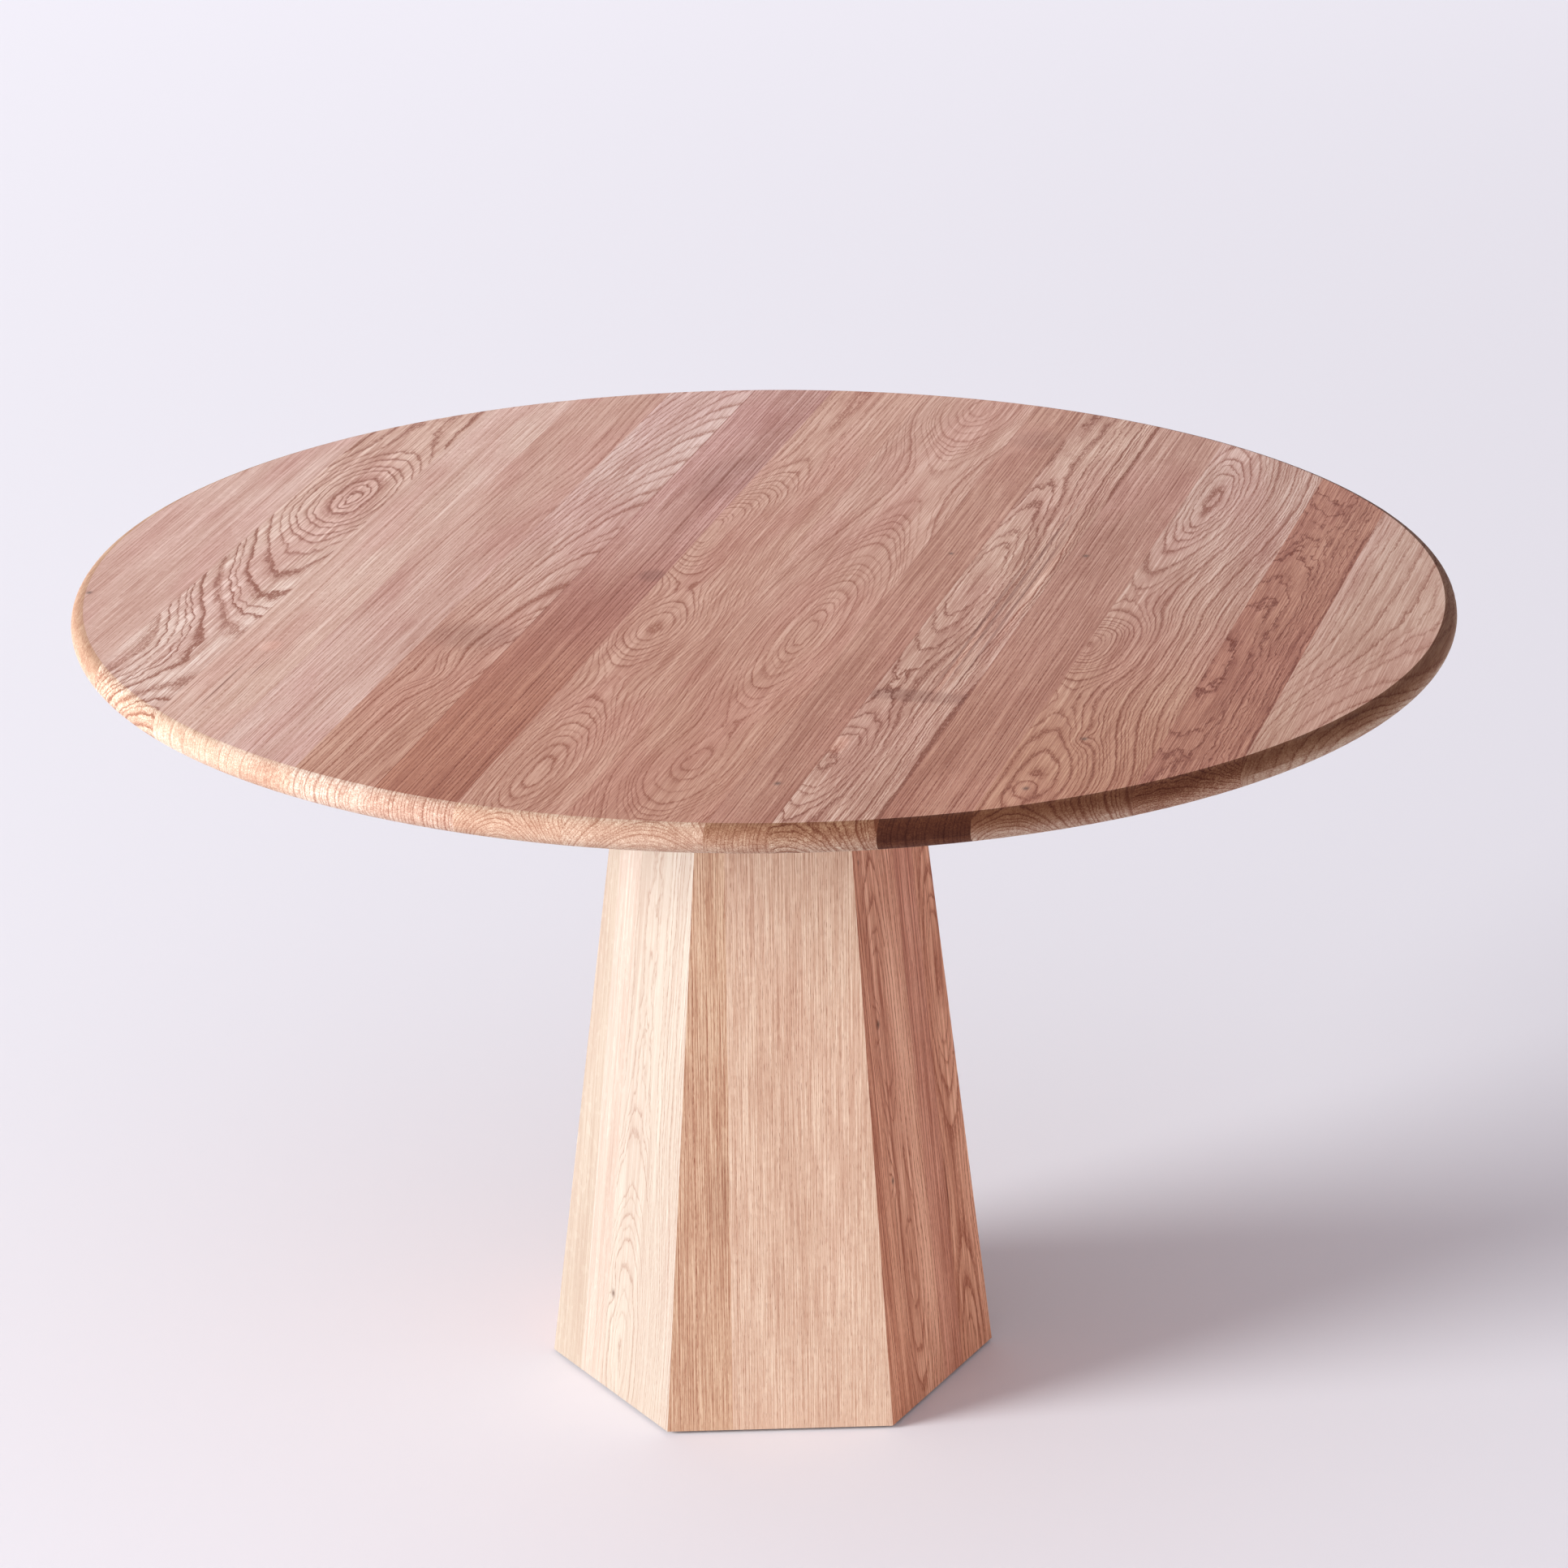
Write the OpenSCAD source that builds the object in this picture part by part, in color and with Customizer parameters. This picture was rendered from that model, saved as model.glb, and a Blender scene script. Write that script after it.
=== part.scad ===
/* [Tabletop] */
// Diameter of the top
top_d = 1200; // [1000:10:1300]
// Height of the top's upper face above the floor
table_h = 735; // [700:1:760]
// Thickness of the top
top_t = 25; // [24:1:32]
// Arc radius of the bullnose, a little over half the thickness so that the flat ends in an arris
nose_r = 12.65; // [12.6:0.05:14]
// Direction of the staves, clockwise from the back seen from above
grain_angle = 17.25; // [0:0.25:45]

/* [Pedestal] */
// Width of the column across its corners at the bottom
foot_corners = 400; // [360:5:440]
// Width of the column across its corners under the top
head_corners = 229; // [210:1:260]
// Thickness of the panels
panel_t = 20; // [18:1:24]
// Gap between the panels' lower edges and the floor
base_gap = 3; // [2:0.5:5]

/* [Inside the column] */
// Thickness of the plywood boards at the column's ends
board_t = 24; // [24:1:26]
// Thickness of the stiffening frame at half height
frame_t = 18; // [12:1:24]
// Thickness of each ballast plate
ballast_t = 25; // [15:1:30]
// Width of a corner spline
spline_w = 16; // [12:1:18]
// Thickness of a corner spline
spline_t = 4; // [3:0.5:5]

/* [Hardware under the top] */
// Diameter of the steel mounting plate
plate_d = 400; // [380:10:420]
// Thickness of the steel mounting plate
plate_t = 6; // [5:0.5:8]
// Distance of each stiffening channel from the middle
channel_y = 320; // [300:5:340]
// Length of each stiffening channel
channel_l = 880; // [860:10:900]

/* [Levelling feet] */
// Diameter of a foot pad
pad_d = 34; // [28:1:36]
// Thread diameter of a foot stud
stud_d = 10; // [8:1:10]
// Distance of the feet from the column's axis
foot_reach = 148; // [130:1:150]

/* [Hidden] */
// Stave joints of the top, measured across the staves from the centre
top_joints = [-483, -395, -323, -242, -166, -92, -1, 110, 160, 239, 306, 417, 488];
stave_edges = concat([-top_d / 2 - 1], top_joints, [top_d / 2 + 1]);
// Panels in turn round the column: name, direction they face, stave joints across the face
panels = [
    ["front", -90, [-42]],
    ["front_right", -30, [-60, 5, 40]],
    ["back_right", 30, [18]],
    ["back", 90, [-22]],
    ["back_left", 150, [31]],
    ["front_left", 210, [-51, -16]]
];
corner_turns = [0:60:300];
face_turns = [30:60:330];

column_top = table_h - top_t;
column_h = column_top - base_gap;
foot_apothem = foot_corners / 2 * cos(30);
head_apothem = head_corners / 2 * cos(30);
lean = atan((foot_apothem - head_apothem) / column_h);
corner_lean = atan((foot_corners - head_corners) / 2 / column_h);
slope_l = column_h / cos(lean);
reach = foot_corners;
glue_gap = 0.05;
play = 0.5;
past = 1;

board_z = 12;
board_top = board_z + board_t;
cleat_t = 20;
cleat_l = 120;
ballast_apothem = 124;
ballast_reach = 75;
ballast_turns = [30:120:270];
ballast_bolt_r = 6;
ballast_bolt_af = 19;
ballast_head_h = 8;
ballast_head_bore_r = 14;
nut_h = 10;
bolt_tail = 3;
frame_z = 360;
frame_bore_r = 70;
spline_depth = 14;
spline_end = 10;
base_screw_inset = 13;
base_screw_r = 2.25;
base_screw_head_r = 4.5;
base_screw_head_h = 2.5;
base_screw_l = 40;
base_screw_point = 4;

plate_bolt_reach = 52;
plate_bolt_r = 4;
plate_bolt_l = 25;
plate_bolt_socket_af = 5;
sink_h = 4;
column_insert_r = 6;
column_insert_l = 18;
top_screw_reach = 165;
top_screw_turns = [22.5:45:337.5];
top_screw_r = 3;
top_screw_l = 16;
top_screw_socket_af = 4;
top_screw_play = 1.5;
socket_depth = 3;
top_insert_r = 5;
top_insert_l = 12;
washer_r = 8;
washer_t = 1.5;
head_r = 5.25;
head_h = 3.3;
channel_w = 40;
channel_leg = 12;
channel_wall = 3;
channel_pitch = 116;
channel_slot_l = 16;
channel_slot_w = 7;
channel_rows = [-channel_y, channel_y];
channel_holes = [-3.5:1:3.5];

pad_h = 7;
collar_h = 3.4;
collar_af = 17;
tee_flange_r = 11;
tee_flange_t = 1.5;
tee_barrel_r = 6.5;
tee_barrel_l = 12;
stud_top = 34;
stud_ball_r = 6;
stud_neck_r = 4;
run_gap = 0.05;
socket_z = 2;
socket_h = 3;
pad_chamfer = 1;

oak_light = "#e3b98d";
oak_mid = "#cf9b72";
oak_dark = "#b27a55";
plywood = "#e8d3ae";
steel = "#8b8d90";
zinc = "#c9ccd0";
nylon = "#3b3a39";

panel_nodes = [for (p = panels) for (k = [1:len(p[2]) + 1]) str(p[0], "_panel_stave_", k)];
top_nodes = [for (k = [1:len(stave_edges) - 1]) str("top_stave_", k)];
foot_nodes = [for (k = [1:6]) for (piece = ["pad", "stud"]) str("foot_", k, "_", piece)];

// A point on a circle, for placing repeated pieces
module at_turn(turn, distance) {
    rotate([0, 0, turn]) translate([distance, 0, 0]) children();
}

// Everything under the top is set out across and along the staves
module along_grain() {
    rotate([0, 0, -grain_angle]) children();
}

// Places of the threaded inserts: a ring at the mounting plate, and a row at each channel
module top_insert_places() {
    along_grain() {
        for (turn = top_screw_turns) at_turn(turn, top_screw_reach) children();
        for (y = channel_rows) for (k = channel_holes)
            translate([k * channel_pitch, y, channel_wall - plate_t]) children();
    }
}

// Places of the same screws' heads, all level with the underside
module top_screw_places() {
    along_grain() {
        for (turn = top_screw_turns) at_turn(turn, top_screw_reach) children();
        for (y = channel_rows) for (k = channel_holes) translate([k * channel_pitch, y, 0]) children();
    }
}

// The whole round top before it is cut into staves: a flat disc with an arc for its edge
module round_top() {
    translate([0, 0, column_top + top_t / 2]) intersection() {
        union() {
            cylinder(r = top_d / 2 - nose_r, h = top_t, center = true, $fn = 360);
            rotate_extrude($fn = 360) translate([top_d / 2 - nose_r, 0]) circle(r = nose_r, $fn = 96);
        }
        cylinder(r = top_d / 2 + past, h = top_t, center = true, $fn = 360);
    }
}

// Section of a stiffening channel, its web down and its legs up; a gap makes it the groove for the channel
module channel_section(gap = 0) {
    leg = channel_wall + 2 * gap;
    translate([-channel_w / 2 - gap, -gap]) square([channel_w + 2 * gap, channel_wall + gap]);
    for (side = [-1, 1])
        translate([side * (channel_w - channel_wall) / 2 - leg / 2, -gap])
            square([leg, channel_leg + 2 * gap]);
}

module channel_bar(y, gap = 0) {
    length = channel_l + 2 * gap;
    along_grain() translate([-length / 2, y, column_top])
        rotate([90, 0, 90]) linear_extrude(height = length) channel_section(gap);
}

// What is cut out of the top's underside
module underside_cuts() {
    translate([0, 0, column_top - past]) cylinder(r = plate_d / 2 + play, h = plate_t + past, $fn = 180);
    for (y = channel_rows) channel_bar(y, play);
    translate([0, 0, column_top + plate_t - past])
        top_insert_places() cylinder(r = top_insert_r, h = top_insert_l + past, $fn = 48);
}

module top_stave(k) {
    color(k % 3 == 0 ? oak_dark : (k % 3 == 1 ? oak_light : oak_mid)) difference() {
        intersection() {
            round_top();
            along_grain() translate([stave_edges[k - 1], -top_d, 0])
                cube([stave_edges[k] - stave_edges[k - 1], 2 * top_d, table_h + past]);
        }
        underside_cuts();
    }
}

// A slab parallel to one face of the column, from depth_out to depth_in under its outer surface
module leaning_slab(depth_out, depth_in, left, right) {
    translate([foot_apothem, left, base_gap]) rotate([0, -lean, 0])
        translate([-depth_in, 0, -reach / 2]) cube([depth_in - depth_out, right - left, slope_l + reach]);
}

// The sector of the column that one panel fills, mitre to mitre
module mitre_wedge() {
    half = reach * tan(30);
    translate([0, 0, base_gap]) linear_extrude(height = column_h)
        polygon([[0, 0], [reach, -half], [reach, half]]);
}

module spline_bar(gap = 0) {
    width = spline_w + 2 * gap;
    thickness = spline_t + 2 * gap;
    translate([foot_corners / 2, 0, base_gap]) rotate([0, -corner_lean, 0])
        translate([-spline_depth - thickness / 2, -width / 2, spline_end])
            cube([thickness, width, slope_l - 2 * spline_end]);
}

module panel_stave(i, k) {
    joints = panels[i][2];
    edges = concat([-reach], joints, [reach]);
    color([oak_light, oak_mid, oak_dark][(i + k) % 3]) rotate([0, 0, panels[i][1]]) difference() {
        intersection() {
            leaning_slab(0, panel_t, edges[k - 1], edges[k]);
            mitre_wedge();
        }
        for (side = [-30, 30]) rotate([0, 0, side]) spline_bar(glue_gap);
    }
}

module corner_splines() {
    color(plywood) for (turn = corner_turns) rotate([0, 0, turn]) spline_bar();
}

// A board that fills the column's hollow between two heights, its edges following the panels
module hollow_board(bottom, thickness, gap = glue_gap) {
    difference() {
        translate([0, 0, bottom]) cylinder(r = foot_corners / 2, h = thickness, $fn = 6);
        for (turn = face_turns) rotate([0, 0, turn])
            leaning_slab(-reach, panel_t + gap, -reach, reach);
    }
}

module upper_bulkhead() {
    color(plywood) difference() {
        hollow_board(column_top - board_t, board_t);
        for (turn = face_turns) at_turn(turn, plate_bolt_reach)
            translate([0, 0, column_top - column_insert_l - past])
                cylinder(r = column_insert_r, h = column_insert_l + 2 * past, $fn = 48);
    }
}

module middle_frame() {
    color(plywood) difference() {
        hollow_board(frame_z, frame_t);
        translate([0, 0, frame_z - past]) cylinder(r = frame_bore_r, h = frame_t + 2 * past, $fn = 96);
    }
}

module base_board() {
    color(plywood) difference() {
        hollow_board(board_z, board_t, play);
        for (turn = corner_turns) at_turn(turn, foot_reach) translate([0, 0, board_z - past]) {
            cylinder(r = tee_barrel_r, h = tee_barrel_l + past, $fn = 48);
            cylinder(r = stud_d / 2 + play, h = board_t + 2 * past, $fn = 48);
        }
        for (turn = ballast_turns) at_turn(turn, ballast_reach) translate([0, 0, board_z - past]) {
            cylinder(r = ballast_bolt_r + play, h = board_t + 2 * past, $fn = 48);
            cylinder(r = ballast_head_bore_r, h = ballast_head_h + 2 * past, $fn = 48);
        }
        base_screw_places() translate([0, 0, -past]) base_screw_shape(past);
    }
}

// Six battens round the inside of the column that the base board is screwed up to
module base_cleats() {
    color(oak_mid) difference() {
        for (turn = face_turns) rotate([0, 0, turn]) intersection() {
            leaning_slab(panel_t + glue_gap, panel_t + cleat_t, -cleat_l / 2, cleat_l / 2);
            translate([0, -cleat_l, board_top]) cube([reach, 2 * cleat_l, cleat_t]);
        }
        base_screws();
    }
}

// Two screws up into each batten
module base_screw_places() {
    for (turn = face_turns) rotate([0, 0, turn]) for (side = [-1, 1])
        translate([foot_apothem - panel_t - base_screw_inset, side * cleat_l / 3, board_z]) children();
}

// Countersunk wood screw with its head down; a lead-in below the head makes it the cutter for its hole
module base_screw_shape(lead_in = 0) {
    shank = base_screw_l - base_screw_point;
    translate([0, 0, lead_in]) {
        cylinder(r1 = base_screw_head_r, r2 = base_screw_r, h = base_screw_head_h, $fn = 48);
        cylinder(r = base_screw_r, h = shank, $fn = 48);
        translate([0, 0, shank])
            cylinder(r1 = base_screw_r, r2 = base_screw_r / 5, h = base_screw_point, $fn = 48);
    }
    if (lead_in > 0) cylinder(r = base_screw_head_r, h = lead_in, $fn = 48);
}

module base_screws() {
    color(zinc) base_screw_places() base_screw_shape();
}

module ballast_plate(bottom) {
    color(steel) difference() {
        translate([0, 0, bottom]) cylinder(r = ballast_apothem / cos(30), h = ballast_t, $fn = 6);
        for (turn = ballast_turns) at_turn(turn, ballast_reach) translate([0, 0, bottom - past])
            cylinder(r = ballast_bolt_r + play, h = ballast_t + 2 * past, $fn = 48);
    }
}

module lower_ballast_plate() {
    ballast_plate(board_top);
}

module upper_ballast_plate() {
    ballast_plate(board_top + ballast_t);
}

module hex_prism(across_flats, height) {
    cylinder(r = across_flats / 2 / cos(30), h = height, $fn = 6);
}

module ballast_bolts() {
    head_z = board_z + past;
    shank = board_top + 2 * ballast_t + nut_h + bolt_tail - head_z;
    color(zinc) for (turn = ballast_turns) at_turn(turn, ballast_reach) translate([0, 0, head_z]) {
        hex_prism(ballast_bolt_af, ballast_head_h);
        cylinder(r = ballast_bolt_r, h = shank, $fn = 48);
    }
}

module ballast_nuts() {
    color(zinc) for (turn = ballast_turns) at_turn(turn, ballast_reach)
        translate([0, 0, board_top + 2 * ballast_t]) difference() {
            hex_prism(ballast_bolt_af, nut_h);
            translate([0, 0, -past]) cylinder(r = ballast_bolt_r, h = nut_h + 2 * past, $fn = 48);
        }
}

// Round plate let into the top's underside; it bolts down into the column and screws up into the top
module mounting_plate() {
    color(steel) translate([0, 0, column_top]) difference() {
        cylinder(r = plate_d / 2, h = plate_t, $fn = 180);
        for (turn = face_turns) at_turn(turn, plate_bolt_reach) {
            translate([0, 0, -past]) cylinder(r = plate_bolt_r + play / 2, h = plate_t + 2 * past, $fn = 48);
            translate([0, 0, plate_t - sink_h])
                cylinder(r1 = plate_bolt_r, r2 = 2 * plate_bolt_r, h = sink_h, $fn = 48);
        }
        along_grain() for (turn = top_screw_turns) at_turn(turn, top_screw_reach)
            translate([0, 0, -past])
                cylinder(r = top_screw_r + top_screw_play, h = plate_t + 2 * past, $fn = 48);
    }
}

module plate_bolts() {
    color(zinc) for (turn = face_turns) at_turn(turn, plate_bolt_reach)
        translate([0, 0, column_top + plate_t]) difference() {
            union() {
                translate([0, 0, -sink_h])
                    cylinder(r1 = plate_bolt_r, r2 = 2 * plate_bolt_r, h = sink_h, $fn = 48);
                translate([0, 0, -plate_bolt_l])
                    cylinder(r = plate_bolt_r, h = plate_bolt_l - sink_h / 2, $fn = 48);
            }
            translate([0, 0, -socket_depth]) hex_prism(plate_bolt_socket_af, socket_depth + past);
        }
}

module threaded_insert(outer_r, bore_r, length) {
    difference() {
        cylinder(r = outer_r, h = length, $fn = 48);
        translate([0, 0, -past]) cylinder(r = bore_r, h = length + 2 * past, $fn = 48);
    }
}

module column_inserts() {
    color(zinc) for (turn = face_turns) at_turn(turn, plate_bolt_reach)
        translate([0, 0, column_top - column_insert_l])
            threaded_insert(column_insert_r, plate_bolt_r, column_insert_l);
}

// U-shaped bar across the staves, slotted so that the top can move with the seasons
module stiffening_channel(y) {
    slot_run = channel_slot_l - channel_slot_w;
    color(steel) difference() {
        channel_bar(y);
        along_grain() for (k = channel_holes) translate([k * channel_pitch, y, column_top - past]) {
            for (side = [-1, 1]) translate([side * slot_run / 2, 0, 0])
                cylinder(r = channel_slot_w / 2, h = channel_wall + 2 * past, $fn = 48);
            translate([-slot_run / 2, -channel_slot_w / 2, 0])
                cube([slot_run, channel_slot_w, channel_wall + 2 * past]);
        }
    }
}

module left_channel() {
    stiffening_channel(-channel_y);
}

module right_channel() {
    stiffening_channel(channel_y);
}

module top_screws() {
    color(zinc) translate([0, 0, column_top - washer_t]) top_screw_places() difference() {
        union() {
            translate([0, 0, -head_h]) cylinder(r = head_r, h = head_h, $fn = 48);
            cylinder(r = top_screw_r, h = top_screw_l, $fn = 48);
        }
        translate([0, 0, -head_h - past]) hex_prism(top_screw_socket_af, socket_depth);
    }
}

module top_washers() {
    color(zinc) translate([0, 0, column_top - washer_t]) top_screw_places()
        threaded_insert(washer_r, top_screw_r, washer_t);
}

module top_inserts() {
    color(zinc) translate([0, 0, column_top + plate_t]) top_insert_places()
        threaded_insert(top_insert_r, top_screw_r, top_insert_l);
}

module tee_nuts() {
    color(zinc) for (turn = corner_turns) at_turn(turn, foot_reach) difference() {
        union() {
            translate([0, 0, board_z - tee_flange_t]) cylinder(r = tee_flange_r, h = tee_flange_t, $fn = 48);
            translate([0, 0, board_z - tee_flange_t])
                cylinder(r = tee_barrel_r, h = tee_barrel_l + tee_flange_t, $fn = 48);
        }
        translate([0, 0, board_z - tee_flange_t - past])
            cylinder(r = stud_d / 2 + run_gap, h = tee_barrel_l + tee_flange_t + 2 * past, $fn = 48);
    }
}

// Round pad on the floor with a socket for the stud's foot
module foot_pad(k) {
    color(nylon) at_turn(60 * (k - 1), foot_reach) difference() {
        union() {
            cylinder(r1 = pad_d / 2 - pad_chamfer, r2 = pad_d / 2, h = pad_chamfer, $fn = 72);
            translate([0, 0, pad_chamfer]) cylinder(r = pad_d / 2, h = pad_h - 2 * pad_chamfer, $fn = 72);
            translate([0, 0, pad_h - pad_chamfer])
                cylinder(r1 = pad_d / 2, r2 = pad_d / 2 - pad_chamfer, h = pad_chamfer, $fn = 72);
        }
        translate([0, 0, socket_z]) cylinder(r = stud_ball_r + run_gap, h = socket_h + 2 * run_gap, $fn = 48);
        translate([0, 0, socket_z]) cylinder(r = stud_neck_r + run_gap, h = pad_h, $fn = 48);
    }
}

// Threaded stud with a hexagonal collar for a spanner and a disc foot caught in the pad
module foot_stud(k) {
    collar_z = board_z - tee_flange_t - run_gap - collar_h;
    color(zinc) at_turn(60 * (k - 1), foot_reach) {
        translate([0, 0, socket_z + run_gap]) cylinder(r = stud_ball_r, h = socket_h, $fn = 48);
        translate([0, 0, socket_z + run_gap]) cylinder(r = stud_neck_r, h = pad_h, $fn = 48);
        translate([0, 0, collar_z]) hex_prism(collar_af, collar_h);
        translate([0, 0, collar_z]) cylinder(r = stud_d / 2, h = stud_top - collar_z, $fn = 48);
    }
}

for (k = [1:len(top_nodes)])
    top_stave(k);
for (i = [0:len(panels) - 1]) for (k = [1:len(panels[i][2]) + 1])
    panel_stave(i, k);
corner_splines();
upper_bulkhead();
middle_frame();
base_board();
base_cleats();
base_screws();
lower_ballast_plate();
upper_ballast_plate();
ballast_bolts();
ballast_nuts();
mounting_plate();
plate_bolts();
column_inserts();
left_channel();
right_channel();
top_screws();
top_washers();
top_inserts();
tee_nuts();
for (k = [1:6]) {
    foot_pad(k);
    foot_stud(k);
}
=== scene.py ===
import math

import bpy
from mathutils import Matrix, Vector


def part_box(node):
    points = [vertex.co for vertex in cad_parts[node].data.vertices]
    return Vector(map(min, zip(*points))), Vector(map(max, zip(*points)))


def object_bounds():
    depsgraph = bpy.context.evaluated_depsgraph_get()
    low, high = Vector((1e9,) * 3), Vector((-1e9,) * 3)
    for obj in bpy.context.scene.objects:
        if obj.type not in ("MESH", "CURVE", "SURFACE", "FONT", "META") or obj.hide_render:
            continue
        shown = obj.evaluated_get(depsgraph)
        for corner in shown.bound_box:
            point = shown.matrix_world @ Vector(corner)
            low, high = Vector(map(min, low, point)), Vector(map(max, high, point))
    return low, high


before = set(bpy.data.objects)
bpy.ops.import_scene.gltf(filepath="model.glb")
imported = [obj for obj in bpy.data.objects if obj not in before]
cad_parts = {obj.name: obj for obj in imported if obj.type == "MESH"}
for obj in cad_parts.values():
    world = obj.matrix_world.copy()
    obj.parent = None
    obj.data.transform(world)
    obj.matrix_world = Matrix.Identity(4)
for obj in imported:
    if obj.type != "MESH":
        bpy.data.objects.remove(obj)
cad_lo, cad_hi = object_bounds()

# ---------------------------------------------------------------- the object's own measures, in metres

TOP_Z = cad_hi.z
BASE_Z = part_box("front_panel_stave_1")[0].z
FOOT_APOTHEM = -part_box("front_panel_stave_1")[0].y
# the way each face of the column looks, in degrees from +X
FACES = {"front": -90, "front_right": -30, "back_right": 30,
         "back": 90, "back_left": 150, "front_left": 210}
# the top's grain, clockwise from +Y, and the slope of the column's faces
GRAIN_ANGLE = math.radians(17.25)
LEAN = math.radians(6.0)
# millimetres in a metre: materials work in millimetres
MM = 1000.0


# ---------------------------------------------------------------- node helpers

class Tree:
    """Short names for building a node tree: most calls make a node and return its output."""

    def __init__(self, tree):
        self.tree = tree

    def node(self, kind, **settings):
        made = self.tree.nodes.new(kind)
        for key, value in settings.items():
            setattr(made, key, value)
        return made

    def plug(self, socket, value):
        if isinstance(value, bpy.types.NodeSocket):
            self.tree.links.new(value, socket)
        elif value is not None:
            socket.default_value = value

    def math(self, operation, a, b=None, c=None):
        n = self.node("ShaderNodeMath", operation=operation)
        for socket, value in zip(n.inputs, (a, b, c)):
            self.plug(socket, value)
        return n.outputs[0]

    def vec(self, operation, a, b=None, scale=None):
        n = self.node("ShaderNodeVectorMath", operation=operation)
        self.plug(n.inputs[0], a)
        self.plug(n.inputs[1], b)
        if scale is not None:
            self.plug(n.inputs["Scale"], scale)
        return n.outputs["Value" if operation == "DOT_PRODUCT" else "Vector"]

    def combine(self, x, y, z):
        n = self.node("ShaderNodeCombineXYZ")
        for socket, value in zip(n.inputs, (x, y, z)):
            self.plug(socket, value)
        return n.outputs[0]

    def separate(self, vector):
        n = self.node("ShaderNodeSeparateXYZ")
        self.plug(n.inputs[0], vector)
        return n.outputs

    def noise(self, vector, scale=1.0, detail=2.0, roughness=0.5):
        n = self.node("ShaderNodeTexNoise", noise_dimensions="3D")
        self.plug(n.inputs["Vector"], vector)
        n.inputs["Scale"].default_value = scale
        n.inputs["Detail"].default_value = detail
        n.inputs["Roughness"].default_value = roughness
        return n.outputs["Fac"]

    def noise_line(self, w, scale):
        """Smooth noise along a line."""
        n = self.node("ShaderNodeTexNoise", noise_dimensions="1D")
        self.plug(n.inputs["W"], w)
        n.inputs["Scale"].default_value = scale
        n.inputs["Detail"].default_value = 1.0
        return n.outputs["Fac"]

    def random_line(self, w):
        """A random value from 0 to 1 for each number."""
        n = self.node("ShaderNodeTexWhiteNoise", noise_dimensions="1D")
        self.plug(n.inputs["W"], w)
        return n.outputs["Value"]

    def span(self, value, lo, hi, to_lo=0.0, to_hi=1.0, smooth=True):
        """The value's way from lo to hi, held at both ends, as a number from to_lo to to_hi."""
        n = self.node("ShaderNodeMapRange", interpolation_type="SMOOTHSTEP" if smooth else "LINEAR")
        for socket, v in zip(n.inputs, (value, lo, hi, to_lo, to_hi)):
            self.plug(socket, v)
        return n.outputs[0]

    def mix(self, factor, a, b, blend="MIX"):
        """Colour a, turned into b (or multiplied by b) by the factor."""
        n = self.node("ShaderNodeMix", data_type="RGBA", blend_type=blend)
        self.plug(n.inputs["Factor"], factor)
        for socket, value in ((n.inputs[6], a), (n.inputs[7], b)):
            self.plug(socket, (*value, 1) if isinstance(value, tuple) and len(value) == 3 else value)
        return n.outputs[2]

    def ramp(self, factor, stops):
        """A grey curve through the stops (place, shade)."""
        n = self.node("ShaderNodeValToRGB")
        n.color_ramp.interpolation = "EASE"
        while len(n.color_ramp.elements) < len(stops):
            n.color_ramp.elements.new(0.5)
        for element, (place, shade) in zip(n.color_ramp.elements, stops):
            element.position = place
            element.color = (shade, shade, shade, 1)
        self.plug(n.inputs[0], factor)
        return n.outputs[0]


def add_relief(t, bsdf, height, strength, distance):
    """Fine relief on a shader: height 1 stands this distance proud, in metres."""
    relief = t.node("ShaderNodeBump")
    relief.inputs["Strength"].default_value = strength
    relief.inputs["Distance"].default_value = distance
    t.plug(relief.inputs["Height"], height)
    t.plug(bsdf.inputs["Normal"], relief.outputs[0])


# ---------------------------------------------------------------- camera, light and floor

def add_camera():
    """A long lens a little left of the middle and well above eye level.

    Its place, directions, lens and shift were fitted to the outlines in the photo."""
    data = bpy.data.cameras.new("camera")
    data.sensor_width = 36.0
    data.lens = 134.3
    data.shift_x = -0.1004
    cam = bpy.data.objects.new("camera", data)
    bpy.context.scene.collection.objects.link(cam)
    cam.location = (-0.1506, -4.8343, 2.3452)
    yaw = math.radians(-3.595)
    down = math.radians(20.387)
    roll = math.radians(0.081)
    cam.rotation_euler = (Matrix.Rotation(yaw, 3, "Z") @ Matrix.Rotation(math.pi / 2 - down, 3, "X")
                          @ Matrix.Rotation(roll, 3, "Z")).to_euler()
    bpy.context.scene.camera = cam


def add_area_light(name, shape, energy, colour):
    """An area light that the camera doesn't see. The caller sets its size and place."""
    data = bpy.data.lights.new(name, "AREA")
    data.shape = shape
    data.energy = energy
    data.color = colour
    lamp = bpy.data.objects.new(name, data)
    lamp.visible_camera = False
    bpy.context.scene.collection.objects.link(lamp)
    return lamp


def add_key_light():
    """One big round softbox, low on the left: its light falls off a little from left to right."""
    distance = 15.0
    wide = math.radians(28)
    azimuth = math.radians(-162)
    height = math.radians(18)
    # what reaches the table, in watts per square metre
    strength = 4.9
    level = Vector((math.cos(azimuth), math.sin(azimuth), 0))
    towards = level * math.cos(height) + Vector((0, 0, math.sin(height)))
    lamp = add_area_light("key", "DISK", strength * math.pi * distance ** 2, (0.985, 0.995, 0.995))
    lamp.data.size = 2 * distance * math.tan(wide / 2)
    lamp.location = towards * distance
    lamp.rotation_euler = towards.to_track_quat("Z", "Y").to_euler()


def add_backdrop_light():
    """A wide overhead panel behind the table: it lights the far paper and gives the top a cool sheen."""
    lamp = add_area_light("backdrop", "RECTANGLE", 190, (0.96, 0.97, 1.0))
    lamp.data.size = 14.0
    lamp.data.size_y = 6.0
    lamp.location = (-0.5, 8.5, 4.5)


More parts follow.
